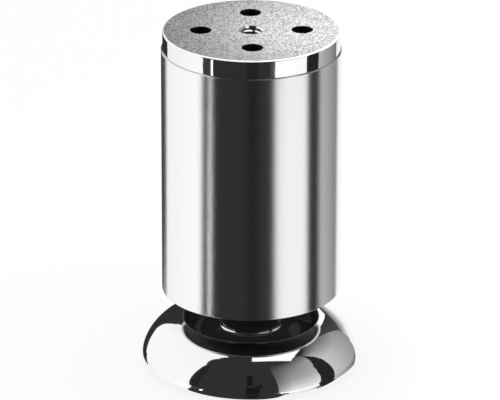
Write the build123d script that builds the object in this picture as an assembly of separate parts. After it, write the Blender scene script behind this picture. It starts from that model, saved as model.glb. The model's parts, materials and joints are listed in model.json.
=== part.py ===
from build123d import *
import math
import os

# Adjustable cabinet leg: a satin steel tube between a cast top plate and a chromed screw foot.
# Lengths are millimetres. The floor is z = 0 and the leg's axis is Z.
# Threads are drawn plain, at their pitch diameter, apart from the tapped centre hole, which is
# drawn at its full outside diameter.

# Tube
TUBE_OUTSIDE_D = 50.0
TUBE_WALL = 1.5
TUBE_LENGTH = 71.5
TUBE_EDGE_CHAMFER = 0.25

# Travel of the foot from the height that it is stored at
TRAVEL_IN = 10.0
TRAVEL_OUT = 10.0
CREST_TO_TUBE_GAP = 0.5
STOP_GAP = 0.3
NUT_TO_NUT_GAP = 0.4

# Top plate: heights are measured from the tube's upper end or down from the top face
CAP_SETBACK = 0.4
CAP_RIM_HEIGHT = 5.2
CAP_EDGE_RADIUS = 0.5
CAP_PLATE_THICKNESS = 3.2
SKIRT_LENGTH = 10.0
SKIRT_WALL = 2.5
SKIRT_CLEARANCE = 0.15
SCREW_CIRCLE_D = 28.0
SCREW_HOLE_D = 6.0
SCREW_HOLE_COUNT = 4
SCREW_BOSS_WALL = 2.0
SCREW_BOSS_DEPTH = 6.0
CENTRE_THREAD_D = 6.0
CENTRE_MOUTH_D = 7.0
CENTRE_BOSS_D = 12.0
CENTRE_BOSS_DEPTH = 9.7
CAP_RIB_THICKNESS = 2.0
CAP_RIB_DEPTH = 7.2

# Crush ribs that hold the top plate and the guide plug in the tube
CRUSH_RIB_RADIUS = 0.6
CRUSH_BITE = 0.05
CAP_CRUSH_RIBS = 8
PLUG_CRUSH_RIBS = 12

# Foot casting: heights are measured from the casting's lower edge
FOOT_WIDEST_D = 61.2
FOOT_TUCK_IN = 1.6
FOOT_WIDEST_HEIGHT = 2.0
FOOT_CREST_HEIGHT = 11.5
FOOT_FULLNESS = 0.4
CREST_FULLNESS = 0.55
DISH_D = 38.6
DISH_HEIGHT = 8.7
DISH_CORNER = 0.5
FOOT_WALL = 2.4
CREST_OVERRUN = 1.1
DISH_FLOOR = 2.4
NECK_D = 16.0
NECK_STEP_D = 18.4
NECK_STEP_HEIGHT = 0.35
NECK_FILLET = 1.0
NECK_HOLD = 1.5
NECK_CHAMFER = 0.8
HUB_D = 23.0
FOOT_RIBS = 8
FOOT_RIB_THICKNESS = 2.0
FOOT_LIP = 1.4
BEAD_STEP = 0.5
BEAD_HEIGHT = 0.7

# Floor pad under the foot
PAD_STAND = 0.5
PAD_SEAT_HEIGHT = 1.7
PAD_CLEARANCE = 0.3
PAD_LIP_PLAY = 0.2
PAD_HOLLOW_D = 42.0
PAD_HOLLOW_DEPTH = 0.5

# Guide plug in the tube's lower end
PLUG_RECESS = 1.0
PLUG_CLEARANCE = 0.3
PLUG_SLEEVE_LENGTH = 18.0
PLUG_SLEEVE_WALL = 2.2
PLUG_FLOOR = 2.5
TOWER_WALL = 3.4
TOWER_TOP_WALL = 1.9
GUIDE_CLEARANCE = 0.1
POCKET_CEILING = 2.7
WEB_COUNT = 8
WEB_THICKNESS = 2.0
WEB_RISE = 8.0

# M8 spindle, its nuts and washers
THREAD_PITCH_D = 7.188
THREAD_CLEARANCE = 0.05
BOLT_HOLE_D = 8.4
ACROSS_FLATS = 13.0
HEX_RECESS_CLEARANCE = 0.1
HEAD_HEIGHT = 5.3
HEAD_GAP = 0.2
THREAD_PROUD = 1.2
THREAD_END_CHAMFER = 0.8
CAPTIVE_NUT_HEIGHT = 6.5
THIN_NUT_HEIGHT = 4.0
LOCK_WASHER_D = 14.8
LOCK_WASHER_THICKNESS = 2.0
LOCK_WASHER_SPLIT = 1.2
STOP_WASHER_D = 16.0
STOP_WASHER_THICKNESS = 1.6

# Radii and heights that follow from the sizes above
TUBE_R = TUBE_OUTSIDE_D / 2
TUBE_BORE_R = TUBE_R - TUBE_WALL
FOOT_WIDEST_R = FOOT_WIDEST_D / 2
FOOT_BASE_R = FOOT_WIDEST_R - FOOT_TUCK_IN
MOUTH_R = FOOT_BASE_R - FOOT_LIP
BEAD_R = MOUTH_R - BEAD_STEP
BEHIND_DISH_R = DISH_D / 2 + FOOT_WALL
FOOT_CREST_R = BEHIND_DISH_R + CREST_OVERRUN
FOOT_BASE_Z = PAD_STAND
CREST_Z = FOOT_BASE_Z + FOOT_CREST_HEIGHT
WIDEST_Z = FOOT_BASE_Z + FOOT_WIDEST_HEIGHT
DISH_Z = FOOT_BASE_Z + DISH_HEIGHT
PAD_TOP_Z = FOOT_BASE_Z + PAD_SEAT_HEIGHT
TUBE_BOTTOM_Z = CREST_Z + TRAVEL_IN + CREST_TO_TUBE_GAP
TUBE_TOP_Z = TUBE_BOTTOM_Z + TUBE_LENGTH
TOP_Z = TUBE_TOP_Z + CAP_RIM_HEIGHT
PLUG_BOTTOM_Z = TUBE_BOTTOM_Z + PLUG_RECESS
GUIDE_R = NECK_D / 2 + GUIDE_CLEARANCE
TOWER_R = GUIDE_R + TOWER_WALL
HEAD_BOTTOM_Z = PAD_TOP_Z + HEAD_GAP
HEAD_TOP_Z = HEAD_BOTTOM_Z + HEAD_HEIGHT
NECK_TOP_Z = PLUG_BOTTOM_Z + TRAVEL_OUT + NECK_HOLD
LOCK_NUT_Z = NECK_TOP_Z + LOCK_WASHER_THICKNESS
LOCK_NUT_TOP_Z = LOCK_NUT_Z + THIN_NUT_HEIGHT
CAPTIVE_NUT_Z = LOCK_NUT_TOP_Z + TRAVEL_IN + NUT_TO_NUT_GAP
CAPTIVE_NUT_TOP_Z = CAPTIVE_NUT_Z + CAPTIVE_NUT_HEIGHT
TOWER_TOP_Z = CAPTIVE_NUT_TOP_Z + POCKET_CEILING
STOP_WASHER_Z = TOWER_TOP_Z + TRAVEL_OUT + STOP_GAP
STOP_NUT_Z = STOP_WASHER_Z + STOP_WASHER_THICKNESS
BOLT_END_Z = STOP_NUT_Z + THIN_NUT_HEIGHT + THREAD_PROUD
THREAD_R = THREAD_PITCH_D / 2
NUT_BORE_R = THREAD_R + THREAD_CLEARANCE
HEX_CORNER_R = ACROSS_FLATS / math.sqrt(3)
NUT_CHAMFER_SLOPE = math.tan(math.radians(30))
OVERCUT = 1.0


def turned(outline):
    """Solid turned about Z from a closed outline, drawn as radius and height."""
    return revolve(Plane.XZ * make_face(outline), Axis.Z)


def turned_polygon(*corners):
    """Solid turned about Z from the corners of its half section."""
    return turned(Polyline(*corners, close=True))


def cylinder_between(radius, low_z, high_z):
    """Upright round bar or round cut between two heights."""
    return Pos(0, 0, low_z) * extrude(Circle(radius), high_z - low_z)


def round_the_axis(shape, count, first_angle=0.0):
    """Copies of one shape, evenly spaced about Z."""
    return [Rot(0, 0, first_angle + number * 360.0 / count) * shape for number in range(count)]


def quarter_sweep(start, end, fullness, start_upright):
    """Quarter of an oval between two points of a half section, upright at one end, level at the other."""
    reach = (end[0] - start[0]) * fullness
    rise = (end[1] - start[1]) * fullness
    if start_upright:
        return Bezier(start, (start[0], start[1] + rise), (end[0] - reach, end[1]), end)
    return Bezier(start, (start[0] + reach, start[1]), (end[0], end[1] - rise), end)


def hexagon(across_flats, low_z, high_z):
    """Plain six-sided bar."""
    face = RegularPolygon(across_flats / 2, 6, major_radius=False)
    return Pos(0, 0, low_z) * extrude(face, high_z - low_z)


def chamfered_hexagon(low_z, high_z, chamfer_low, chamfer_high):
    """Hexagon whose corners are turned off at 30 degrees on the faces asked for."""
    flat_r = ACROSS_FLATS / 2
    outer_r = HEX_CORNER_R + OVERCUT
    drop = (outer_r - flat_r) * NUT_CHAMFER_SLOPE
    low_corner = (flat_r, low_z) if chamfer_low else (outer_r, low_z)
    high_corner = (flat_r, high_z) if chamfer_high else (outer_r, high_z)
    envelope = turned_polygon(
        (0, low_z),
        low_corner,
        (outer_r, low_z + drop),
        (outer_r, high_z - drop),
        high_corner,
        (0, high_z),
    )
    return hexagon(ACROSS_FLATS, low_z, high_z) & envelope


def hexagon_nut(low_z, height):
    """Nut, chamfered on both faces, with a countersunk thread."""
    high_z = low_z + height
    sink = BOLT_HOLE_D / 2 - NUT_BORE_R
    bore = turned_polygon(
        (0, low_z - OVERCUT),
        (BOLT_HOLE_D / 2 + OVERCUT, low_z - OVERCUT),
        (NUT_BORE_R, low_z + sink),
        (NUT_BORE_R, high_z - sink),
        (BOLT_HOLE_D / 2 + OVERCUT, high_z + OVERCUT),
        (0, high_z + OVERCUT),
    )
    return chamfered_hexagon(low_z, high_z, True, True) - bore


def crush_ribs(count, low_z, high_z, first_angle):
    """Thin upright ribs that bite into the tube's bore, with tapered lower ends."""
    centre_r = TUBE_BORE_R + CRUSH_BITE - CRUSH_RIB_RADIUS
    straight = cylinder_between(CRUSH_RIB_RADIUS, low_z + CRUSH_RIB_RADIUS, high_z)
    taper = Cone(CRUSH_RIB_RADIUS / 2, CRUSH_RIB_RADIUS, CRUSH_RIB_RADIUS)
    lead_in = Pos(0, 0, low_z + CRUSH_RIB_RADIUS / 2) * taper
    rib = Pos(centre_r, 0, 0) * (straight + lead_in)
    return round_the_axis(rib, count, first_angle)


def make_tube():
    """Steel tube with both ends lightly chamfered."""
    chamfer_size = TUBE_EDGE_CHAMFER
    return turned_polygon(
        (TUBE_BORE_R + chamfer_size, TUBE_BOTTOM_Z),
        (TUBE_R - chamfer_size, TUBE_BOTTOM_Z),
        (TUBE_R, TUBE_BOTTOM_Z + chamfer_size),
        (TUBE_R, TUBE_TOP_Z - chamfer_size),
        (TUBE_R - chamfer_size, TUBE_TOP_Z),
        (TUBE_BORE_R + chamfer_size, TUBE_TOP_Z),
        (TUBE_BORE_R, TUBE_TOP_Z - chamfer_size),
        (TUBE_BORE_R, TUBE_BOTTOM_Z + chamfer_size),
    )


def cap_shell():
    """Flange that sits on the tube's end, with its skirt inside the tube."""
    rim_r = TUBE_R - CAP_SETBACK
    skirt_r = TUBE_BORE_R - SKIRT_CLEARANCE
    skirt_z = TUBE_TOP_Z - SKIRT_LENGTH
    under_z = TOP_Z - CAP_PLATE_THICKNESS
    edge = CAP_EDGE_RADIUS
    outline = [
        Line((0, TOP_Z), (rim_r - edge, TOP_Z)),
        RadiusArc((rim_r - edge, TOP_Z), (rim_r, TOP_Z - edge), edge),
        Polyline(
            (rim_r, TOP_Z - edge),
            (rim_r, TUBE_TOP_Z),
            (skirt_r, TUBE_TOP_Z),
            (skirt_r, skirt_z + edge),
            (skirt_r - edge, skirt_z),
            (skirt_r - SKIRT_WALL, skirt_z),
            (skirt_r - SKIRT_WALL, under_z),
            (0, under_z),
            (0, TOP_Z),
        ),
    ]
    return turned(outline)


def cap_ribs():
    """Ribs under the plate, from the centre boss to the skirt, one between each pair of screw bosses."""
    skirt_inner_r = TUBE_BORE_R - SKIRT_CLEARANCE - SKIRT_WALL
    inner_r = CENTRE_BOSS_D / 2 - SCREW_BOSS_WALL
    span = skirt_inner_r + SKIRT_WALL / 2 - inner_r
    rib = Pos(inner_r + span / 2, 0, TOP_Z - CAP_RIB_DEPTH / 2 - CAP_EDGE_RADIUS) * Box(
        span, CAP_RIB_THICKNESS, CAP_RIB_DEPTH - CAP_EDGE_RADIUS
    )
    return round_the_axis(rib, 2 * SCREW_HOLE_COUNT, 180.0 / SCREW_HOLE_COUNT)


def make_top_plate():
    """Cast plate: flange, skirt, bosses and ribs in one piece, with its screw holes and tapped centre."""
    under_z = TOP_Z - CAP_PLATE_THICKNESS
    screw_boss_r = SCREW_HOLE_D / 2 + SCREW_BOSS_WALL
    at_screw = Pos(SCREW_CIRCLE_D / 2, 0, 0)
    screw_boss = at_screw * cylinder_between(screw_boss_r, TOP_Z - SCREW_BOSS_DEPTH, under_z)
    centre_boss = cylinder_between(CENTRE_BOSS_D / 2, TOP_Z - CENTRE_BOSS_DEPTH, under_z)
    plate = cap_shell() + centre_boss + round_the_axis(screw_boss, SCREW_HOLE_COUNT) + cap_ribs()
    plate += crush_ribs(CAP_CRUSH_RIBS, TUBE_TOP_Z - SKIRT_LENGTH, TUBE_TOP_Z, 180.0 / CAP_CRUSH_RIBS)
    screw_hole = at_screw * cylinder_between(
        SCREW_HOLE_D / 2, TOP_Z - SCREW_BOSS_DEPTH - CAP_RIB_DEPTH, TOP_Z + OVERCUT
    )
    plate -= round_the_axis(screw_hole, SCREW_HOLE_COUNT)
    return plate - centre_hole()


def centre_hole():
    """Through hole for the tapped centre, countersunk at both ends."""
    bore_r = CENTRE_THREAD_D / 2
    sink = CENTRE_MOUTH_D / 2 - bore_r
    bottom_z = TOP_Z - CENTRE_BOSS_DEPTH
    return turned_polygon(
        (0, bottom_z - OVERCUT),
        (bore_r + sink + OVERCUT, bottom_z - OVERCUT),
        (bore_r, bottom_z + sink),
        (bore_r, TOP_Z - sink),
        (bore_r + sink + OVERCUT, TOP_Z + OVERCUT),
        (0, TOP_Z + OVERCUT),
    )


def plug_body():
    """Floor, outer sleeve and central tower of the guide plug."""
    sleeve_r = TUBE_BORE_R - PLUG_CLEARANCE
    sleeve_inner_r = sleeve_r - PLUG_SLEEVE_WALL
    floor_top_z = PLUG_BOTTOM_Z + PLUG_FLOOR
    sleeve_top_z = PLUG_BOTTOM_Z + PLUG_SLEEVE_LENGTH
    tower_top_r = HEX_CORNER_R + TOWER_TOP_WALL
    return turned_polygon(
        (0, PLUG_BOTTOM_Z),
        (sleeve_r - CRUSH_RIB_RADIUS, PLUG_BOTTOM_Z),
        (sleeve_r, PLUG_BOTTOM_Z + CRUSH_RIB_RADIUS),
        (sleeve_r, sleeve_top_z),
        (sleeve_inner_r, sleeve_top_z),
        (sleeve_inner_r, floor_top_z),
        (TOWER_R, floor_top_z),
        (TOWER_R, LOCK_NUT_TOP_Z),
        (tower_top_r, CAPTIVE_NUT_Z),
        (tower_top_r, TOWER_TOP_Z),
        (0, TOWER_TOP_Z),
    )


def plug_webs():
    """Webs that tie the tower to the sleeve, rising towards the tower."""
    sleeve_inner_r = TUBE_BORE_R - PLUG_CLEARANCE - PLUG_SLEEVE_WALL
    outer_r = sleeve_inner_r + PLUG_SLEEVE_WALL / 2
    inner_r = TOWER_R - TOWER_WALL / 2
    floor_z = PLUG_BOTTOM_Z + PLUG_FLOOR / 2
    sleeve_top_z = PLUG_BOTTOM_Z + PLUG_SLEEVE_LENGTH
    face = make_face(
        Polyline(
            (inner_r, floor_z),
            (outer_r, floor_z),
            (outer_r, sleeve_top_z - PLUG_CLEARANCE),
            (sleeve_inner_r, sleeve_top_z - PLUG_CLEARANCE),
            (TOWER_R, sleeve_top_z + WEB_RISE),
            (inner_r, sleeve_top_z + WEB_RISE),
            close=True,
        )
    )
    web = extrude(Plane.XZ * face, WEB_THICKNESS / 2, both=True)
    return round_the_axis(web, WEB_COUNT)


def make_guide_plug():
    """Moulded plug: guides the neck below and holds the captive nut above."""
    plug = plug_body() + plug_webs()
    plug += crush_ribs(
        PLUG_CRUSH_RIBS,
        PLUG_BOTTOM_Z + CRUSH_RIB_RADIUS,
        PLUG_BOTTOM_Z + PLUG_SLEEVE_LENGTH - CRUSH_RIB_RADIUS,
        180.0 / PLUG_CRUSH_RIBS,
    )
    guide = turned_polygon(
        (0, PLUG_BOTTOM_Z - OVERCUT),
        (GUIDE_R + NECK_CHAMFER + OVERCUT, PLUG_BOTTOM_Z - OVERCUT),
        (GUIDE_R, PLUG_BOTTOM_Z + NECK_CHAMFER),
        (GUIDE_R, CAPTIVE_NUT_Z),
        (0, CAPTIVE_NUT_Z),
    )
    plug -= guide
    plug -= hexagon(ACROSS_FLATS, CAPTIVE_NUT_Z - OVERCUT, CAPTIVE_NUT_TOP_Z)
    return plug - cylinder_between(BOLT_HOLE_D / 2, CAPTIVE_NUT_Z, TOWER_TOP_Z + OVERCUT)


def foot_outside():
    """Full outside form of the foot: rolled ring, flat dish and neck."""
    base = (FOOT_BASE_R, FOOT_BASE_Z)
    widest = (FOOT_WIDEST_R, WIDEST_Z)
    crest = (FOOT_CREST_R, CREST_Z)
    dish_wall = (DISH_D / 2, DISH_Z + DISH_CORNER)
    dish_edge = (DISH_D / 2 - DISH_CORNER, DISH_Z)
    step_top_z = DISH_Z + NECK_STEP_HEIGHT
    fillet_start = (NECK_D / 2 + NECK_FILLET, step_top_z)
    fillet_end = (NECK_D / 2, step_top_z + NECK_FILLET)
    outline = [
        Line((0, FOOT_BASE_Z), base),
        quarter_sweep(base, widest, FOOT_FULLNESS, False),
        quarter_sweep(widest, crest, FOOT_FULLNESS, True),
        quarter_sweep(crest, dish_wall, CREST_FULLNESS, False),
        RadiusArc(dish_wall, dish_edge, DISH_CORNER),
        Polyline(dish_edge, (NECK_STEP_D / 2, DISH_Z), (NECK_STEP_D / 2, step_top_z), fillet_start),
        RadiusArc(fillet_start, fillet_end, NECK_FILLET),
        Polyline(
            fillet_end,
            (NECK_D / 2, NECK_TOP_Z - NECK_CHAMFER),
            (NECK_D / 2 - NECK_CHAMFER, NECK_TOP_Z),
            (0, NECK_TOP_Z),
            (0, FOOT_BASE_Z),
        ),
    ]
    return turned(outline)


def foot_cavity():
    """Hollow under the casting, between its hub and its rolled wall, as far down as the pad."""
    wall_foot = (FOOT_WIDEST_R - FOOT_WALL, WIDEST_Z)
    wall_crest = (FOOT_CREST_R, CREST_Z - FOOT_WALL)
    roof_z = DISH_Z - DISH_FLOOR
    outline = [
        Line((HUB_D / 2, PAD_TOP_Z), (MOUTH_R, PAD_TOP_Z)),
        Line((MOUTH_R, PAD_TOP_Z), wall_foot),
        quarter_sweep(wall_foot, wall_crest, FOOT_FULLNESS, True),
        Polyline(
            wall_crest,
            (BEHIND_DISH_R, CREST_Z - FOOT_WALL),
            (BEHIND_DISH_R, roof_z),
            (HUB_D / 2, roof_z),
            (HUB_D / 2, PAD_TOP_Z),
        ),
    ]
    return turned(outline)


def foot_mouth():
    """Room for the floor pad, with the bead that it snaps behind."""
    bead_top_z = FOOT_BASE_Z + BEAD_HEIGHT
    return turned_polygon(
        (0, FOOT_BASE_Z - OVERCUT),
        (BEAD_R, FOOT_BASE_Z - OVERCUT),
        (BEAD_R, bead_top_z),
        (MOUTH_R, bead_top_z),
        (MOUTH_R, PAD_TOP_Z),
        (0, PAD_TOP_Z),
    )


def make_foot():
    """Chromed casting, hollow and ribbed below, with a hexagon recess for the bolt's head."""
    cavity = foot_cavity()
    inner_r = HUB_D / 2 - FOOT_WALL / 2
    outer_r = FOOT_WIDEST_R - FOOT_WALL / 2
    rib_box = Pos((inner_r + outer_r) / 2, 0, (PAD_TOP_Z + CREST_Z) / 2) * Box(
        outer_r - inner_r, FOOT_RIB_THICKNESS, CREST_Z - PAD_TOP_Z
    )
    for rib in round_the_axis(rib_box, FOOT_RIBS):
        cavity -= rib
    foot = foot_outside() - cavity - foot_mouth()
    recess = hexagon(ACROSS_FLATS + 2 * HEX_RECESS_CLEARANCE, FOOT_BASE_Z, HEAD_TOP_Z)
    return foot - recess - cylinder_between(BOLT_HOLE_D / 2, FOOT_BASE_Z, NECK_TOP_Z + OVERCUT)


def make_floor_pad():
    """Turning pad with a lip that sits behind the foot's bead and a shallow hollow underneath."""
    lower_r = BEAD_R - PAD_CLEARANCE
    lip_r = MOUTH_R - PAD_CLEARANCE
    lip_z = FOOT_BASE_Z + BEAD_HEIGHT + PAD_LIP_PLAY
    return turned_polygon(
        (0, PAD_HOLLOW_DEPTH),
        (PAD_HOLLOW_D / 2, PAD_HOLLOW_DEPTH),
        (PAD_HOLLOW_D / 2, 0),
        (lower_r, 0),
        (lower_r, lip_z),
        (lip_r, lip_z),
        (lip_r, PAD_TOP_Z),
        (0, PAD_TOP_Z),
    )


def make_spindle_bolt():
    """Hexagon bolt: its head is in the foot and its thread goes up through all the nuts."""
    head = chamfered_hexagon(HEAD_BOTTOM_Z, HEAD_TOP_Z, True, False)
    shank = turned_polygon(
        (0, HEAD_TOP_Z - HEAD_GAP),
        (THREAD_R, HEAD_TOP_Z - HEAD_GAP),
        (THREAD_R, BOLT_END_Z - THREAD_END_CHAMFER),
        (THREAD_R - THREAD_END_CHAMFER, BOLT_END_Z),
        (0, BOLT_END_Z),
    )
    return head + shank


def make_lock_washer():
    """Split spring washer between the neck's top and the lock nut."""
    high_z = NECK_TOP_Z + LOCK_WASHER_THICKNESS
    ring = cylinder_between(LOCK_WASHER_D / 2, NECK_TOP_Z, high_z)
    ring -= cylinder_between(BOLT_HOLE_D / 2, NECK_TOP_Z - OVERCUT, high_z + OVERCUT)
    split = Pos(LOCK_WASHER_D / 2, 0, NECK_TOP_Z + LOCK_WASHER_THICKNESS / 2) * Box(
        LOCK_WASHER_D, LOCK_WASHER_SPLIT, LOCK_WASHER_THICKNESS + OVERCUT
    )
    return ring - split


def make_stop_washer():
    """Flat washer under the stop nut."""
    ring = cylinder_between(STOP_WASHER_D / 2, STOP_WASHER_Z, STOP_NUT_Z)
    return ring - cylinder_between(BOLT_HOLE_D / 2, STOP_WASHER_Z - OVERCUT, STOP_NUT_Z + OVERCUT)


def main():
    """Writes one file for each piece."""
    os.makedirs("parts", exist_ok=True)
    pieces = {
        "top_plate": make_top_plate(),
        "tube": make_tube(),
        "guide_plug": make_guide_plug(),
        "captive_nut": hexagon_nut(CAPTIVE_NUT_Z, CAPTIVE_NUT_HEIGHT),
        "foot": make_foot(),
        "spindle_bolt": make_spindle_bolt(),
        "lock_washer": make_lock_washer(),
        "lock_nut": hexagon_nut(LOCK_NUT_Z, THIN_NUT_HEIGHT),
        "stop_washer": make_stop_washer(),
        "stop_nut": hexagon_nut(STOP_NUT_Z, THIN_NUT_HEIGHT),
        "floor_pad": make_floor_pad(),
    }
    for name, shape in pieces.items():
        export_step(shape, f"parts/{name}.step")
    print("tube from", TUBE_BOTTOM_Z, "to", TUBE_TOP_Z, "top face at", TOP_Z)
    print("bolt length under its head", BOLT_END_Z - HEAD_TOP_Z, "tower top", TOWER_TOP_Z)


main()
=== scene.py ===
# %% [markdown]
# # An adjustable cabinet leg
#
# The real leg is a satin steel tube with a cast plate on top and a chromed foot below.
# The foot turns on a screw inside the tube, and that sets the height.
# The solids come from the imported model, at their real size. This lesson gives each of them
# its finish, adds a thread and the foot's polished shoulder, and builds the small studio whose light the
# metal mirrors.

# %% Load the frame
import json
import math

import bmesh
import bpy
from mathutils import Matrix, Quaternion, Vector


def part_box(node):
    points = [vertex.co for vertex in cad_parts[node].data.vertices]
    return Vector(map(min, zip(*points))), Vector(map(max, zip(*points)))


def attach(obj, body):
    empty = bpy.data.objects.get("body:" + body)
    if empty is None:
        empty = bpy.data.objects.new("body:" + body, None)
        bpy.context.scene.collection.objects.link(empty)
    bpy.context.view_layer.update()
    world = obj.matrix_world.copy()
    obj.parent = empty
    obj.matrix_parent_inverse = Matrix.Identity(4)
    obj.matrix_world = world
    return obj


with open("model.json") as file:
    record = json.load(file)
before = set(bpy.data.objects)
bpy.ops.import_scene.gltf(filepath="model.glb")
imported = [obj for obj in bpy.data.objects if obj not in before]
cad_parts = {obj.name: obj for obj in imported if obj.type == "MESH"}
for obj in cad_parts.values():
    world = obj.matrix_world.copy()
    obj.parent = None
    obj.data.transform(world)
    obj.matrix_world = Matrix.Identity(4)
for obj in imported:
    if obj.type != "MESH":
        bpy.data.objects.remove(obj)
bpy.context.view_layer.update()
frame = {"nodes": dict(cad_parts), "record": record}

MM = 0.001
nodes = frame["nodes"]
scene = bpy.context.scene
print("pieces in the frame:", sorted(nodes))

# %% [markdown]
# ## Where the pieces are
#
# The heights and radii that the finishes need are read from the frame, so that they fit the solids.
# A node's box gives its lowest and highest corner. On a turned piece the box also gives its radius.
# Only the thread and the shoulder skin, further down, bring sizes of their own.

# %% Measure the pieces


def high_of(name):
    """Height of a piece's highest point."""
    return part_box(name)[1].z


def radius_of(name):
    """Largest radius of a turned piece."""
    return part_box(name)[1].x


tube_r = radius_of("tube")
rim_r = radius_of("top_plate")
foot_r = radius_of("foot")
top_z = high_of("top_plate")
print("tube radius", round(tube_r / MM, 2), "rim", round(rim_r / MM, 2), "foot", round(foot_r / MM, 2))
print("height", round(top_z / MM, 2), "mm")

# %% [markdown]
# ## The camera
#
# A product photographer stands well back with a long lens, so that upright edges stay parallel.
# The distance, the tilt and the lens were found by laying the outline of the model over the photograph:
# the curve of the tube's two ends gives the tilt, and the height of the tube gives the lens.
# The leg is turned by about a degree, which is what brings the four screw holes into place.

# %% Place the camera
CAMERA_DISTANCE = 1.3
CAMERA_TILT = math.radians(22.30)
CAMERA_TURN = math.radians(-1.14)
CAMERA_ROLL = 0.0022
CAMERA_LENS = 334.77
CAMERA_NEAR = 0.01
CAMERA_FAR = 20.0
SENSOR_WIDTH = 36.0
AIM_HEIGHT = 48.545 * MM
AIM_LEFT = 0.297 * MM


def from_azimuth(turn, tilt):
    """Direction from the leg towards a place in the studio, turned to the right of -Y and lifted."""
    return Vector((math.sin(turn) * math.cos(tilt), -math.cos(turn) * math.cos(tilt), math.sin(tilt)))


camera_data = bpy.data.cameras.new("camera")
camera_data.lens = CAMERA_LENS
camera_data.sensor_width = SENSOR_WIDTH
camera_data.clip_start = CAMERA_NEAR
camera_data.clip_end = CAMERA_FAR
camera = bpy.data.objects.new("camera", camera_data)
scene.collection.objects.link(camera)
towards_camera = from_azimuth(CAMERA_TURN, CAMERA_TILT)
to_the_right = Vector((math.cos(CAMERA_TURN), math.sin(CAMERA_TURN), 0.0))
aim = Vector((0, 0, AIM_HEIGHT)) - to_the_right * AIM_LEFT
camera.location = aim + towards_camera * CAMERA_DISTANCE
camera.rotation_mode = "QUATERNION"
level_view = (-towards_camera).to_track_quat("-Z", "Y")
camera.rotation_quaternion = level_view @ Quaternion((0, 0, 1), CAMERA_ROLL)
scene.camera = camera
scene.view_settings.view_transform = "Standard"
print("camera at", [round(value, 4) for value in camera.location])

# %% [markdown]
# ## Plain light for everything that isn't a mirror
#
# A white world of strength 1 lights a matt surface to just the colour that is written for it.
# It is also the white background. The floor is a pale disc, and most of what the camera sees of it is a
# plain white glow, so that it blends with the background and still keeps the leg's soft shadow.

# %% World and floor
FLOOR_RADIUS = 3.0
FLOOR_SIDES = 96
FLOOR_WHITE = 0.95
FLOOR_GLOW_SHARE = 0.8
WHITE = (1, 1, 1, 1)

world = bpy.data.worlds.new("white_studio")
scene.world = world
world.use_nodes = True
world.node_tree.nodes["Background"].inputs["Color"].default_value = WHITE
world.node_tree.nodes["Background"].inputs["Strength"].default_value = 1.0


def add_node(tree, kind, inputs=None, **settings):
    """Adds a shader node. An input, by name or number, gets a plain value or another node's output."""
    made = tree.nodes.new(kind)
    for name, value in settings.items():
        setattr(made, name, value)
    for name, value in (inputs or {}).items():
        if isinstance(value, bpy.types.NodeSocket):
            tree.links.new(value, made.inputs[name])
        else:
            made.inputs[name].default_value = value
    return made


def new_material(name):
    """Empty material and its node tree."""
    material = bpy.data.materials.new(name)
    material.use_nodes = True
    material.node_tree.nodes.clear()
    return material, material.node_tree


def mesh_object(name, mesh_builder):
    """Object whose mesh is filled in by a function that takes a bmesh."""
    mesh = bpy.data.meshes.new(name)
    made = bmesh.new()
    mesh_builder(made)
    made.to_mesh(mesh)
    made.free()
    shown = bpy.data.objects.new(name, mesh)
    scene.collection.objects.link(shown)
    return shown


def floor_disc(made):
    """Flat round floor."""
    bmesh.ops.create_circle(made, cap_ends=True, segments=FLOOR_SIDES, radius=FLOOR_RADIUS)


floor = mesh_object("floor", floor_disc)
floor_finish, tree = new_material("pale_floor")
matt = add_node(tree, "ShaderNodeBsdfDiffuse", {"Color": (FLOOR_WHITE, FLOOR_WHITE, FLOOR_WHITE, 1)})
glow = add_node(tree, "ShaderNodeEmission", {"Color": WHITE, "Strength": 1.0})
seen = add_node(tree, "ShaderNodeLightPath")
share = add_node(
    tree,
    "ShaderNodeMath",
    {0: seen.outputs["Is Camera Ray"], 1: FLOOR_GLOW_SHARE},
    operation="MULTIPLY",
).outputs[0]
mixed = add_node(tree, "ShaderNodeMixShader", {0: share, 1: matt.outputs[0], 2: glow.outputs[0]})
add_node(tree, "ShaderNodeOutputMaterial", {"Surface": mixed.outputs[0]})
floor.data.materials.append(floor_finish)
floor.visible_glossy = False
print("floor radius", FLOOR_RADIUS, "m")

# %% [markdown]
# ## The studio that the metal mirrors
#
# Bright metal has almost no colour of its own: what one sees on it is the room.
# The photograph's bands are soft boxes and dark flags that stand round the leg, so they are built here as
# curved cards. A card has a left and a right edge, counted in degrees from the camera towards the right,
# and a lower and an upper edge, in degrees above the middle of the leg. Each card stands a little nearer
# than the one before it, so that a flag can be laid over a box.
# Only mirror rays see the cards. They give no light and no shade to anything matt.

# %% Cards round the leg
CARD_RADIUS = 1.6
CARD_SPACING = 0.01
CARD_STEP = math.radians(3.0)
CARD_CENTRE = Vector((0, 0, AIM_HEIGHT))

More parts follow.
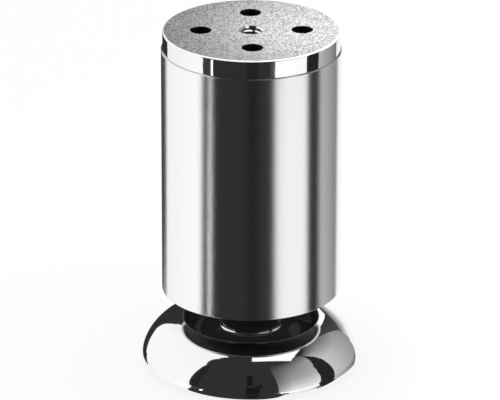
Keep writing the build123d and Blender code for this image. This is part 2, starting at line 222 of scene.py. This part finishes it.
# name, left, right, low, high, then one brightness, or four: low left, low right, high left, high right
CARDS = [
    ("dark_room", -180, 180, -89, 89, 0.03),
    ("left_box", -151, -65, 18, 76, 1.04, 1.04, 0.98, 0.98),
    ("left_box_middle", -142, -65, -12, 3, 1.04),
    ("left_box_upper", -152, -65, 3, 20, 1.04),
    ("left_box_shoulder", -155.5, -151, 20, 25, 1.0),
    ("left_box_low", -139, -63, -88, -12, 1.0, 1.12, 0.96, 1.12),
    ("left_box_back", -180, -139, -60, -25, 1.0),
    ("left_box_top", -180, -151, 31, 62, 0.97),
    ("left_box_corner", -159, -151, 25, 31, 0.97),
    ("left_flag", -65, -55, -12, 80, 0.02),
    ("left_flag_high", -66, -50, 48, 82, 0.03),
    ("left_flag_low", -68.5, -52, -30, -12, 0.05),
    ("left_flag_foot", -69, -52, -88, -30, 0.02),
    ("left_gap", -58.2, -53.8, -25.2, -17.3, 3.6, 3.6, 1.2, 1.2),
    ("lens", -4, 2, 18, 42, 0.01),
    ("lens_side", -5, 9, -17, 12, 0.01),
    ("lens_arm", 4, 12, 8, 20, 0.015),
    ("lens_side_low", -5, 9, -26, -17, 0.02),
    ("front_box_edge", 22, 30.5, -30, -17, 0.03, 0.12, 0.03, 0.12),
    ("front_box", 30.5, 79, -88, -25.2, 0.98, 0.98, 0.88, 0.90),
    ("front_box_bright", 30.5, 79, -25.2, -18, 1.25, 1.08, 1.25, 1.08),
    ("front_box_soft", 28.5, 45, -18, 20, 0.42, 0.92, 0.17, 0.39),
    ("front_box_top", 45, 77, -18, 20, 0.92, 0.95, 0.39, 0.50),
    ("front_box_fade", 28.5, 45, 20, 46, 0.17, 0.39, 0.07, 0.16),
    ("front_box_high", 45, 88, 20, 46, 0.39, 0.50, 0.16, 0.36),
    ("front_box_end", 28.5, 45, 46, 60, 0.07, 0.16, 0.03, 0.03),
    ("front_box_end_high", 45, 98, 46, 60, 0.16, 0.36, 0.03, 0.04),
    ("right_flag", 75.5, 97, -13, 30, 0.02),
    ("right_flag_top", 79, 96, 30, 62, 0.02),
    ("right_flag_low", 79, 99, -28, -13, 0.02),
    ("right_box_foot", 112, 147, -88, -28, 0.95, 0.95, 0.6, 1.15),
    ("right_box_under", 80, 112, -88, -50, 0.95, 0.95, 0.9, 0.9),
    ("right_flag_foot", 112, 130, -56, -28, 0.02),
    ("right_box_low", 96.5, 147, -28, -13, 0.50, 0.12, 0.52, 0.16),
    ("right_box", 95.5, 147, -13, 28, 0.6, 0.27, 0.62, 0.30),
    ("right_box_top", 95.5, 147, 28, 46, 0.62, 0.30, 0.44, 0.09),
    ("right_box_end", 95.5, 147, 46, 56, 0.44, 0.09, 0.03, 0.03),
    ("back_box", 143, 180, -88, -1, 1.05, 1.05, 0.98, 0.98),
    ("back_box_fade", 145, 180, -1, 14, 0.9, 0.9, 0.14, 0.14),
    ("back_dark", 147, 180, 14, 60, 0.07, 0.02, 0.05, 0.02),
]

# how far a card's left and right edges lean outwards, in degrees, from its foot to its top
LEANS = {
    "left_box_middle": (-10, 0),
    "left_box_upper": (-3.5, 0),
    "left_box_shoulder": (-3.5, 0),
    "left_box_corner": (-19, 0),
    "left_flag_high": (-26, 0),
    "left_flag_low": (6, 4),
    "left_gap": (6.0, 4.0),
    "right_flag": (3, -1),
    "right_flag_top": (19, 12),
    "right_flag_low": (-5.5, -4),
    "right_flag_foot": (-31, -27),
    "right_box_foot": (-13, 0),
}


def card_finish():
    """Glow whose strength comes from the card's own corners."""
    finish, card_tree = new_material("studio_card")
    level = add_node(card_tree, "ShaderNodeAttribute", attribute_name="level")
    shine = add_node(card_tree, "ShaderNodeEmission", {"Strength": level.outputs["Fac"]})
    add_node(card_tree, "ShaderNodeOutputMaterial", {"Surface": shine.outputs[0]})
    finish.cycles.emission_sampling = "NONE"
    return finish


def only_for_mirrors(card):
    """Hides a card from everything but mirror rays."""
    card.visible_camera = False
    card.visible_diffuse = False
    card.visible_transmission = False
    card.visible_volume_scatter = False
    card.visible_shadow = False


def put_up(name, points, faces, strengths):
    """Glowing card from its points and faces, with a brightness for each point."""
    mesh = bpy.data.meshes.new(name)
    mesh.from_pydata(points, [], faces)
    mesh.attributes.new("level", "FLOAT", "POINT").data.foreach_set("value", strengths)
    mesh.materials.append(glow_card)
    card = bpy.data.objects.new(name, mesh)
    scene.collection.objects.link(card)
    only_for_mirrors(card)


def curved_card(name, radius, left, right, low, high, levels, leans):
    """Patch of a sphere round the leg."""
    across = max(1, round((right - left) / CARD_STEP))
    up = max(1, round((high - low) / CARD_STEP))
    points = []
    strengths = []
    for row in range(up + 1):
        v = row / up
        for column in range(across + 1):
            u = column / across
            here = (left + leans[0] * v) * (1 - u) + (right + leans[1] * v) * u
            turn = CAMERA_TURN + here
            points.append(CARD_CENTRE + from_azimuth(turn, low + (high - low) * v) * radius)
            lower = levels[0] * (1 - u) + levels[1] * u
            upper = levels[2] * (1 - u) + levels[3] * u
            strengths.append(lower * (1 - v) + upper * v)
    faces = []
    for row in range(up):
        for column in range(across):
            first = row * (across + 1) + column
            faces.append((first, first + 1, first + across + 2, first + across + 1))
    put_up(name, points, faces, strengths)


glow_card = card_finish()
for number, (name, left, right, low, high, *levels) in enumerate(CARDS):
    edges = [math.radians(value) for value in (left, right, low, high)]
    leans = [math.radians(value) for value in LEANS.get(name, (0, 0))]
    if len(levels) == 1:
        levels = levels * 4
    curved_card(name, CARD_RADIUS - CARD_SPACING * number, *edges, levels, leans)
print("cards:", len(CARDS))

# %% [markdown]
# ## Flat panels above and below the leg
#
# The white crescent on the right of the foot's shoulder is the mirror image of a flat soft box above the
# leg. The foot's front mirrors what lies below: a dark table and, in the middle of it, a stand that is
# darker still. All three are level panels. Each outline is written for a height of one, as steps to the
# right and away from the camera, and is scaled to the panel's real height over the shoulder.

# %% Flat panels
PANEL_BASE = Vector((0, 0, 12 * MM))
OVERHEAD_HEIGHT = 0.4
OVERHEAD_LEVEL = 1.1
OVERHEAD_CORNERS = [
    (0.02, -0.23),
    (0.62, -0.23),
    (0.58, -0.10),
    (0.53, 0.44),
    (0.49, 0.81),
    (0.50, 1.09),
    (0.45, 1.44),
    (0.45, 1.76),
    (0.52, 2.24),
    (0.73, 3.40),
    (0.02, 3.40),
]
TABLE_DEPTH = -0.4
TABLE_LEVEL = 0.03
TABLE_CORNERS = [
    (-1.60, -0.65),
    (-1.02, -0.18),
    (-0.78, 0.00),
    (-0.50, 0.38),
    (-0.20, 0.60),
    (0.05, 0.65),
    (0.15, 0.30),
    (0.245, 0.04),
    (0.34, -0.21),
    (0.44, -0.37),
    (0.57, -0.53),
    (0.757, -0.706),
    (0.92, -1.02),
    (1.105, -1.52),
    (1.20, -1.75),
    (-1.00, -1.50),
]
STAND_DEPTH = -0.38
STAND_LEVEL = 0.012
STAND_CORNERS = [(-0.02, -0.10), (-0.16, -1.90), (0.30, -1.90), (0.03, -0.10)]

away = Vector((-math.sin(CAMERA_TURN), math.cos(CAMERA_TURN), 0))


def flat_panel(name, corners, height, level):
    """Level panel above the leg, or below it where its height is negative."""
    points = [
        PANEL_BASE + (to_the_right * x + away * y) * abs(height) + Vector((0, 0, height))
        for x, y in corners
    ]
    put_up(name, points, [tuple(range(len(points)))], [level] * len(points))


flat_panel("overhead_box", OVERHEAD_CORNERS, OVERHEAD_HEIGHT, OVERHEAD_LEVEL)
flat_panel("dark_table", TABLE_CORNERS, TABLE_DEPTH, TABLE_LEVEL)
flat_panel("dark_stand", STAND_CORNERS, STAND_DEPTH, STAND_LEVEL)
print("panels at", OVERHEAD_HEIGHT, TABLE_DEPTH, STAND_DEPTH, "m")

# %% [markdown]
# ## A lamp over the top plate
#
# The cards light nothing but mirrors, and the blasted top face is nearly matt. In the photograph it goes
# from grey on the left to nearly white on the right. A small soft lamp close over it, turned to the right,
# gives that. Mirrors don't see the lamp, only matt surfaces do.

# %% Lamp
LAMP_SIZE = 0.02
LAMP_RIGHT = 11 * MM
LAMP_HEIGHT = 45 * MM
LAMP_TILT = math.radians(40)
LAMP_POWER = 0.11

lamp_data = bpy.data.lights.new("top_lamp", "AREA")
lamp_data.size = LAMP_SIZE
lamp_data.energy = LAMP_POWER
lamp = bpy.data.objects.new("top_lamp", lamp_data)
lamp.location = to_the_right * LAMP_RIGHT + Vector((0, 0, top_z + LAMP_HEIGHT))
lamp.rotation_mode = "QUATERNION"
shining = to_the_right * math.sin(LAMP_TILT) - Vector((0, 0, math.cos(LAMP_TILT)))
lamp.rotation_quaternion = shining.to_track_quat("-Z", "Y")
lamp.visible_glossy = False
lamp.visible_camera = False
scene.collection.objects.link(lamp)
print("lamp", LAMP_POWER, "W")

# %% [markdown]
# ## Effects that several finishes share
#
# Each effect is a node group, built once. A finish puts it to work with its own numbers.
# The helpers here make an empty group with named sockets, do sums inside it, and place it in a material.

# %% Helpers for node groups


def new_group(name, inputs, outputs):
    """Empty shader group with named number sockets. Each input comes with its usual value."""
    group = bpy.data.node_groups.new(name, "ShaderNodeTree")
    for socket_name, usual in inputs.items():
        socket = group.interface.new_socket(socket_name, in_out="INPUT", socket_type="NodeSocketFloat")
        socket.default_value = usual
    for socket_name in outputs:
        group.interface.new_socket(socket_name, in_out="OUTPUT", socket_type="NodeSocketFloat")
    given = group.nodes.new("NodeGroupInput").outputs
    out = group.nodes.new("NodeGroupOutput").inputs
    return group, given, out


def calc(tree, operation, *values):
    """Result of one math node."""
    return add_node(tree, "ShaderNodeMath", dict(enumerate(values)), operation=operation).outputs[0]


def use_group(tree, group, **values):
    """Places a group in a material, with its own numbers."""
    return add_node(tree, "ShaderNodeGroup", values, node_tree=group).outputs


# %% [markdown]
# ## Zone
#
# `zone` says whether a point lies between two radii and two heights of a turned piece, with soft edges.
# It tells the blasted top face from the polished rim of the same casting, or the inside of a tube from its
# outside, without any painted texture. Two finishes also use it to lay painted shade or a painted
# highlight into a colour.

# %% The zone group
EVERYWHERE = 10.0
ZONE_EDGE = 0.05 * MM

zone, given, out = new_group(
    "zone",
    {"Inner": 0.0, "Outer": EVERYWHERE, "Low": -EVERYWHERE, "High": EVERYWHERE, "Edge": ZONE_EDGE},
    ["Mask"],
)
place = add_node(zone, "ShaderNodeTexCoord").outputs["Object"]
axes = add_node(zone, "ShaderNodeSeparateXYZ", {"Vector": place}).outputs
x_squared = calc(zone, "POWER", axes["X"], 2.0)
y_squared = calc(zone, "POWER", axes["Y"], 2.0)
radius = calc(zone, "SQRT", calc(zone, "ADD", x_squared, y_squared))


def soft_step(tree, value, limit, edge):
    """Rises from 0 to 1 as a value passes a limit."""
    return add_node(
        tree,
        "ShaderNodeMapRange",
        {
            "Value": value,
            "From Min": calc(tree, "SUBTRACT", limit, edge),
            "From Max": calc(tree, "ADD", limit, edge),
        },
        interpolation_type="SMOOTHSTEP",
    ).outputs["Result"]


above_inner = soft_step(zone, radius, given["Inner"], given["Edge"])
above_outer = soft_step(zone, radius, given["Outer"], given["Edge"])
above_low = soft_step(zone, axes["Z"], given["Low"], given["Edge"])
above_high = soft_step(zone, axes["Z"], given["High"], given["Edge"])
between_radii = calc(zone, "SUBTRACT", above_inner, above_outer)
between_heights = calc(zone, "SUBTRACT", above_low, above_high)
zone.links.new(calc(zone, "MULTIPLY", between_radii, between_heights), out["Mask"])
print("group", zone.name, "with", len(zone.nodes), "nodes")

# %% [markdown]
# ## Grain
#
# `grain` is the fine unevenness that blasting, casting or moulding leaves.
# Its size is the width of one grain. `stretch` makes the grains longer round the piece than along it,
# which turns them into brush marks. The height goes into a Bump node, and the spots may change a colour.

# %% The grain group
GRAIN_SIZE = 0.3 * MM
GRAIN_DETAIL = 2.0
DARK_SPOT = 0.35
PALE_SPOT = 0.65

grain, given, out = new_group(
    "grain",
    {"Size": GRAIN_SIZE, "Stretch": 1.0, "Detail": GRAIN_DETAIL},
    ["Height", "Spots"],
)
place = add_node(grain, "ShaderNodeTexCoord").outputs["Object"]
finer = calc(grain, "DIVIDE", 1.0, given["Size"])
coarser = calc(grain, "DIVIDE", finer, given["Stretch"])
scale = add_node(grain, "ShaderNodeCombineXYZ", {"X": coarser, "Y": coarser, "Z": finer}).outputs[0]
scaled = add_node(grain, "ShaderNodeVectorMath", {0: place, 1: scale}, operation="MULTIPLY").outputs[0]
cloud = add_node(
    grain, "ShaderNodeTexNoise", {"Vector": scaled, "Scale": 1.0, "Detail": given["Detail"]}
).outputs["Fac"]
grain.links.new(cloud, out["Height"])
spots = add_node(
    grain, "ShaderNodeMapRange", {"Value": cloud, "From Min": DARK_SPOT, "From Max": PALE_SPOT}
)
grain.links.new(spots.outputs["Result"], out["Spots"])
print("group", grain.name, "with", len(grain.nodes), "nodes")

# %% [markdown]
# ## How a finish is put together
#
# Every finish is one shader with its plain numbers on its own sockets. Where a number or a colour changes
# over the surface, a zone or the grain blends two values, and the result goes into the socket.

# %% Helpers for finishes


def metal_finish(name, colour, roughness, **fixed):
    """Material with one metal shader, wired to its output."""
    finish, finish_tree = new_material(name)
    shader = add_node(
        finish_tree,
        "ShaderNodeBsdfPrincipled",
        {"Base Color": (*colour, 1), "Metallic": 1.0, "Roughness": roughness, **fixed},
    )
    add_node(finish_tree, "ShaderNodeOutputMaterial", {"Surface": shader.outputs[0]})
    return finish, finish_tree, shader


def blend_values(tree, share, first, second):
    """Number that goes from the first to the second value with a share."""
    return add_node(
        tree, "ShaderNodeMix", {"Factor": share, "A": first, "B": second}, data_type="FLOAT"
    ).outputs["Result"]


# a Mix node has sockets for each kind of value, all with the same names: these are those for colours
MIX_FACTOR = 0
MIX_FIRST_COLOUR = 6
MIX_SECOND_COLOUR = 7
MIX_RESULT_COLOUR = 2


def blend_colours(tree, share, first, second):
    """Colour that goes from the first to the second with a share."""
    made = add_node(
        tree,
        "ShaderNodeMix",
        {MIX_FACTOR: share, MIX_FIRST_COLOUR: first, MIX_SECOND_COLOUR: second},
        data_type="RGBA",
    )
    return made.outputs[MIX_RESULT_COLOUR]


def bump_from(tree, shader, height, depth, strength=1.0):
    """Bumps a shader's surface by a height between 0 and 1, to a depth in metres."""
    bump = add_node(tree, "ShaderNodeBump", {"Height": height, "Distance": depth, "Strength": strength})
    tree.links.new(bump.outputs[0], shader.inputs["Normal"])


print("helpers ready")

# %% [markdown]
# ## Satin steel
#
# The tube is drawn steel, brushed round and round with a fine abrasive. Brush marks spread a reflection
# across them, so the upright bands of the studio stay fairly crisp from side to side and are smeared up
# and down. The anisotropic socket does that. Fine grit in the bump makes the bands' edges sparkle a
# little, as they do on the real tube. The sawn upper edge is darker, and the inside is left as drawn.

# %% Satin steel
SATIN_COLOUR = (0.89, 0.89, 0.881)
SATIN_ROUGHNESS = 0.205
BRUSHED_ROUND = {"Anisotropic": 0.7, "Anisotropic Rotation": 0.25}
BRUSH_MARK = 0.06 * MM
BRUSH_STRETCH = 14.0
BRUSH_SHARE = 0.15
GRIT_SIZE = 0.35 * MM
GRIT_DEPTH = 0.018 * MM
MILL_ROUGHNESS = 0.5
SAWN_DEPTH = 0.15 * MM
SAWN_EDGE = 0.03 * MM
SAWN_COLOUR = (0.50, 0.50, 0.50, 1)
TUBE_WALL_MIDDLE = tube_r - 0.75 * MM


def satin_steel():
    """Steel of the tube, brushed outside, plain inside and sawn at its upper end."""
    finish, tree, shader = metal_finish("satin_steel", SATIN_COLOUR, SATIN_ROUGHNESS, **BRUSHED_ROUND)
    around = add_node(tree, "ShaderNodeTangent", direction_type="RADIAL", axis="Z")
    tree.links.new(around.outputs[0], shader.inputs["Tangent"])
    inside = use_group(tree, zone, Outer=TUBE_WALL_MIDDLE)["Mask"]
    marks = use_group(tree, grain, Size=BRUSH_MARK, Stretch=BRUSH_STRETCH)["Height"]
    grit = use_group(tree, grain, Size=GRIT_SIZE)["Height"]
    matt = blend_values(tree, inside, SATIN_ROUGHNESS, MILL_ROUGHNESS)
    tree.links.new(matt, shader.inputs["Roughness"])
    rough = calc(tree, "ADD", calc(tree, "MULTIPLY", marks, BRUSH_SHARE), grit)
    bump_from(tree, shader, rough, GRIT_DEPTH)
    sawn = use_group(tree, zone, Low=high_of("tube") - SAWN_DEPTH, Edge=SAWN_EDGE)["Mask"]
    shade = blend_colours(tree, sawn, (*SATIN_COLOUR, 1), SAWN_COLOUR)
    tree.links.new(shade, shader.inputs["Base Color"])
    return finish


finishes = {"satin_steel": satin_steel()}
print("satin steel ready")

# %% [markdown]
# ## Mirror chrome
#
# The foot is cast zinc, polished and chromed. A cast piece is never as flat as glass: a very shallow, slow
# wave in the bump makes the mirrored edges wander a little, as they do in the photograph.
#
# The bowl round the neck mirrors the dark underside of the tube and looks black. A mask by radius and
# height paints shade into it as well: a nearly black, barely metallic colour, while the neck and the
# shoulder stay bright chrome.

# %% Mirror chrome
CHROME_COLOUR = (0.90, 0.905, 0.91)
CHROME_ROUGHNESS = 0.045
CAST_WAVE = 6.0 * MM
CAST_WAVE_DEPTH = 0.03 * MM
# painted shade in the bowl: a nearly black colour, and a low metallic so that it mirrors little
CHROME_PAINTED_SHADE_IN_BOWL = (0.05, 0.05, 0.052)
BOWL_PAINTED_SHADE_METALLIC = 0.12
BOWL_R = 19.25 * MM
BOWL_LOW = 9.0 * MM
BOWL_EDGE = 0.15 * MM
NECK_R = 8.5 * MM


def chromed_zinc():
    """Chrome of the foot, with painted shade in the bowl round its neck."""
    finish, tree, shader = metal_finish("chromed_zinc", CHROME_COLOUR, CHROME_ROUGHNESS)
    wave = use_group(tree, grain, Size=CAST_WAVE, Detail=0.0)["Height"]
    bump_from(tree, shader, wave, CAST_WAVE_DEPTH)
    # painted shade: the bowl round the neck gets a nearly black, barely metallic colour
    bowl_painted_shade = use_group(tree, zone, Inner=NECK_R, Outer=BOWL_R, Low=BOWL_LOW, Edge=BOWL_EDGE)["Mask"]
    shade = blend_colours(tree, bowl_painted_shade, (*CHROME_COLOUR, 1), (*CHROME_PAINTED_SHADE_IN_BOWL, 1))
    tree.links.new(shade, shader.inputs["Base Color"])
    tree.links.new(blend_values(tree, bowl_painted_shade, 1.0, BOWL_PAINTED_SHADE_METALLIC), shader.inputs["Metallic"])
    shader.inputs["Specular IOR Level"].default_value = 0.0
    return finish


finishes["chromed_zinc"] = chromed_zinc()
print("chrome ready")

# %% [markdown]
# ## Blasted and polished zinc
#
# The top plate is one casting with two finishes. Its upper face is blasted with fine grit, so that it
# grips the cabinet, and its rim is polished, with a shallow wave. Below, inside the tube, it keeps its
# cast skin. A narrow band at the rim's upper corner carries a painted highlight: a near-white, barely
# metallic colour that the white world lights up as a thin bright line.
# The four screw holes carry painted shade: their colour is dark grey, for the dark inside of the leg that
# shows through them.

# %% Blasted zinc
PLATE_COLOUR = (0.86, 0.865, 0.875)
RIM_ROUGHNESS = 0.05
BLASTED_ROUGHNESS = 0.5
BLASTED_METALLIC = 0.1
BLASTED_DARK = (0.055, 0.055, 0.056, 1)
BLASTED_LIGHT = (0.285, 0.285, 0.288, 1)
# painted shade in the screw holes
HOLE_PAINTED_SHADE = (0.10, 0.10, 0.10, 1)
SCREW_HOLES_FROM = 10.5 * MM
SCREW_HOLES_TO = 17.5 * MM
# painted highlight on the rim's upper corner
CORNER_PAINTED_HIGHLIGHT = (0.85, 0.85, 0.85, 1)
CORNER_WIDTH = 0.4 * MM
CORNER_HEIGHT = 0.32 * MM
CAST_ROUGHNESS = 0.5
CAST_BELOW_TUBE = 0.05 * MM
RIM_WAVE = 3.0 * MM
RIM_WAVE_SHARE = 0.22
FACE_MARGIN = 0.35 * MM
FACE_DEPTH = 0.04 * MM
FACE_EDGE = 0.02 * MM
PIT_SIZE = 0.46 * MM
PIT_DETAIL = 3.0
PIT_DEPTH = 0.08 * MM


def blasted_zinc():
    """Zinc of the top plate: blasted face, polished rim, painted highlight on the corner, painted shade in
    the screw holes, and cast skin inside.
    """
    finish, tree, shader = metal_finish("blasted_zinc", PLATE_COLOUR, RIM_ROUGHNESS)
    face_low = top_z - FACE_DEPTH
    corner_low = top_z - CORNER_HEIGHT
    face = use_group(tree, zone, Outer=rim_r - FACE_MARGIN, Low=face_low, Edge=FACE_EDGE)["Mask"]
    below = use_group(tree, zone, High=high_of("tube") - CAST_BELOW_TUBE)["Mask"]
    # painted shade: dark grey over the screw holes, below the face
    screw_holes_with_painted_shade = use_group(tree, zone, Inner=SCREW_HOLES_FROM, Outer=SCREW_HOLES_TO, High=face_low)["Mask"]
    # painted highlight: a near-white, barely metallic band round the rim's upper corner
    corner = use_group(tree, zone, Inner=rim_r - CORNER_WIDTH, Low=corner_low, Edge=FACE_EDGE)["Mask"]
    hidden = calc(tree, "MAXIMUM", below, screw_holes_with_painted_shade)
    pits = use_group(tree, grain, Size=PIT_SIZE, Detail=PIT_DETAIL)
    matt = blend_values(tree, hidden, RIM_ROUGHNESS, CAST_ROUGHNESS)
    matt = blend_values(tree, face, matt, BLASTED_ROUGHNESS)
    tree.links.new(matt, shader.inputs["Roughness"])
    face_and_painted_highlight = calc(tree, "MAXIMUM", face, corner)
    tree.links.new(blend_values(tree, face_and_painted_highlight, 1.0, BLASTED_METALLIC), shader.inputs["Metallic"])
    speckle = blend_colours(tree, pits["Spots"], BLASTED_DARK, BLASTED_LIGHT)
    shade = blend_colours(tree, screw_holes_with_painted_shade, (*PLATE_COLOUR, 1), HOLE_PAINTED_SHADE)
    shade = blend_colours(tree, face, shade, speckle)
    tree.links.new(blend_colours(tree, corner, shade, CORNER_PAINTED_HIGHLIGHT), shader.inputs["Base Color"])
    depth = calc(tree, "MULTIPLY", pits["Height"], calc(tree, "MAXIMUM", face, hidden))
    wave = use_group(tree, grain, Size=RIM_WAVE, Detail=0.0)["Height"]
    depth = calc(tree, "ADD", depth, calc(tree, "MULTIPLY", wave, RIM_WAVE_SHARE))
    bump_from(tree, shader, depth, PIT_DEPTH)
    return finish


finishes["blasted_zinc"] = blasted_zinc()
print("blasted zinc ready")

# %% [markdown]
# ## The pieces inside and below
#
# The guide plug is black nylon and the floor pad is grey polyethylene, both with the fine grain of a
# moulding tool. The screw, its nuts and washers are steel with bright zinc plate.

# %% Nylon, polyethylene and plated steel
SMOOTHER_SPOT = 0.05
ROUGHER_SPOT = 0.08
MOULD_DEPTH = 0.02 * MM
MOULD_STRENGTH = 0.6
NYLON_COLOUR = (0.006, 0.006, 0.0065)
NYLON_ROUGHNESS = 0.5
NYLON_GRAIN = 0.25 * MM
PAD_COLOUR = (0.16, 0.16, 0.165)
PAD_ROUGHNESS = 0.55
PAD_GRAIN = 0.4 * MM
ZINC_COLOUR = (0.72, 0.74, 0.77)
ZINC_BLUISH = (0.70, 0.73, 0.78, 1)
ZINC_YELLOWISH = (0.76, 0.76, 0.74, 1)
ZINC_ROUGHNESS = 0.28
ZINC_SMOOTHEST = 0.22
ZINC_ROUGHEST = 0.36
ZINC_CLOUD = 1.2 * MM
ZINC_DETAIL = 3.0


def moulded_plastic(name, colour, roughness, grain_size):
    """Plastic with the fine grain of its mould."""
    finish, tree, shader = metal_finish(name, colour, roughness)
    shader.inputs["Metallic"].default_value = 0.0
    skin = use_group(tree, grain, Size=grain_size)
    spread = blend_values(tree, skin["Spots"], roughness - SMOOTHER_SPOT, roughness + ROUGHER_SPOT)
    tree.links.new(spread, shader.inputs["Roughness"])
    bump_from(tree, shader, skin["Height"], MOULD_DEPTH, MOULD_STRENGTH)
    return finish


def zinc_plated_steel():
    """Steel with bright zinc plate, whose tint and gloss are a little cloudy."""
    finish, tree, shader = metal_finish("zinc_plated_steel", ZINC_COLOUR, ZINC_ROUGHNESS)
    cloud = use_group(tree, grain, Size=ZINC_CLOUD, Detail=ZINC_DETAIL)["Spots"]
    tree.links.new(blend_values(tree, cloud, ZINC_SMOOTHEST, ZINC_ROUGHEST), shader.inputs["Roughness"])
    tint = blend_colours(tree, cloud, ZINC_BLUISH, ZINC_YELLOWISH)
    tree.links.new(tint, shader.inputs["Base Color"])
    return finish


finishes["black_nylon"] = moulded_plastic("black_nylon", NYLON_COLOUR, NYLON_ROUGHNESS, NYLON_GRAIN)
finishes["grey_polyethylene"] = moulded_plastic("grey_polyethylene", PAD_COLOUR, PAD_ROUGHNESS, PAD_GRAIN)
finishes["zinc_plated_steel"] = zinc_plated_steel()
print("finishes:", sorted(finishes))

# %% [markdown]
# ## The finishes go on
#
# Each solid has the name of its material in the record, so one loop dresses them all.

# %% Dress the solids
for part in frame["record"]["subparts"]:
    for slot in nodes[part["node"]].material_slots:
        slot.material = finishes[part["material_slot"]]
print("dressed", len(nodes), "solids")

# %% [markdown]
# ## The thread in the centre hole
#
# The solid has a plain bore as wide as the thread's grooves. The thread itself is a ridge that stands in
# the bore and winds round it once each millimetre. It is made by moving the ridge's section round the
# axis, one small step at a time, and its two ends run out to nothing.

# %% The M6 thread
THREAD_PITCH = 1.0 * MM
GROOVE_R = 3.02 * MM
CREST_R = 2.50 * MM
GROOVE_HALF = 0.44 * MM
CREST_HALF = 0.13 * MM
THREAD_LOW = 90.0 * MM
THREAD_HIGH = 98.75 * MM
STEPS_PER_TURN = 48
RUN_OUT_TURNS = 0.5
LEAST_GROWN = 0.02
SAME_POINT = 0.001 * MM


def wound_ridge(made):
    """Ridge of a right-hand inside thread."""
    low = THREAD_LOW + GROOVE_HALF
    turns = (THREAD_HIGH - GROOVE_HALF - low) / THREAD_PITCH
    steps = round(turns * STEPS_PER_TURN)
    rings = []
    for step in range(steps + 1):
        turn = step / STEPS_PER_TURN
        angle = 2 * math.pi * turn
        height = low + THREAD_PITCH * turn
        grown = min(1.0, turn / RUN_OUT_TURNS, (turns - turn) / RUN_OUT_TURNS)
        crest = GROOVE_R + (CREST_R - GROOVE_R) * max(grown, LEAST_GROWN)
        section = [
            (GROOVE_R, -GROOVE_HALF * grown),
            (crest, -CREST_HALF * grown),
            (crest, CREST_HALF * grown),
            (GROOVE_R, GROOVE_HALF * grown),
        ]
        rings.append([
            made.verts.new((r * math.cos(angle), r * math.sin(angle), height + rise))
            for r, rise in section
        ])
    for first, second in zip(rings, rings[1:]):
        for corner in range(len(first)):
            following = (corner + 1) % len(first)
            made.faces.new((first[corner], first[following], second[following], second[corner]))
    made.faces.new(rings[0])
    made.faces.new(reversed(rings[-1]))
    bmesh.ops.remove_doubles(made, verts=made.verts, dist=SAME_POINT)
    bmesh.ops.recalc_face_normals(made, faces=made.faces)


centre_thread = mesh_object("centre_thread", wound_ridge)
centre_thread.data.materials.append(finishes["blasted_zinc"])
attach(centre_thread, "leg")
print("thread faces:", len(centre_thread.data.polygons))

# %% [markdown]
# ## The foot's polished shoulder
#
# On the real casting the ring goes on rising, gently, until it is well under the tube, and only then rolls
# over into a shallow bowl round the neck. That bowl sends nearly every reflection up to the dark underside
# of the tube, so it looks black, and the chrome's painted shade in the bowl darkens it further. The solid
# is simpler there, so a thin skin of the same chrome lies on it.
# Its section is drawn once, as a chain of six smooth curves, and is turned round the axis.

# %% The shoulder skin
SKIN_SIDES = 160
CURVE_STEPS = 14
SHARP_FROM = math.radians(30)

# radius and height in millimetres: two points that pull the curve, and the point where it ends
SKIN_START = (25.86, 10.67)
SKIN_CURVES = [
    ((24.0, 12.15), (21.5, 13.3), (19.3, 13.35)),  # shoulder, up to its crest
    ((19.05, 13.35), (18.8, 13.3), (18.65, 13.15)),  # roll, over to the lip
    ((18.52, 13.05), (18.44, 12.85), (18.4, 12.65)),  # lip
    ((18.2, 10.6), (16.5, 9.32), (14.0, 9.32)),  # wall of the bowl, down to its floor
    ((12.0, 9.32), (10.3, 9.7), (9.3, 10.2)),  # floor, in to the neck
    ((8.6, 10.6), (8.02, 11.0), (8.02, 11.6)),  # fillet, up the neck
]
SKIN_UNDERSIDE = [(7.9, 11.6), (7.9, 9.0), (19.3, 9.0), (22.8, 11.6), (25.0, 10.6)]


def bend(start, first, second, end):
    """Points of a smooth curve between two points, its end left out."""
    points = []
    for step in range(CURVE_STEPS):
        t = step / CURVE_STEPS
        shares = ((1 - t) ** 3, 3 * t * (1 - t) ** 2, 3 * t * t * (1 - t), t ** 3)
        points.append(tuple(
            sum(share * point[axis] for share, point in zip(shares, (start, first, second, end)))
            for axis in (0, 1)
        ))
    return points


def skin_section():
    """Section of the shoulder, the roll, the bowl and the skin's hidden underside, in millimetres."""
    points = []
    start = SKIN_START
    for first, second, end in SKIN_CURVES:
        points += bend(start, first, second, end)
        start = end
    return points + [start] + SKIN_UNDERSIDE


def turned_skin(made):
    """The section turned once round the axis."""
    section = skin_section()
    count = len(section)
    rings = []
    for side in range(SKIN_SIDES):
        angle = 2 * math.pi * side / SKIN_SIDES
        rings.append([
            made.verts.new((r * MM * math.cos(angle), r * MM * math.sin(angle), z * MM))
            for r, z in section
        ])
    for side in range(SKIN_SIDES):
        ring, following = rings[side], rings[(side + 1) % SKIN_SIDES]
        for corner in range(count):
            other = (corner + 1) % count
            made.faces.new((ring[corner], following[corner], following[other], ring[other]))
    bmesh.ops.recalc_face_normals(made, faces=made.faces)
    for face in made.faces:
        face.smooth = True


shoulder = mesh_object("foot_shoulder", turned_skin)
shoulder.data.set_sharp_from_angle(angle=SHARP_FROM)
shoulder.data.materials.append(finishes["chromed_zinc"])
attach(shoulder, "foot")
print("shoulder faces:", len(shoulder.data.polygons))
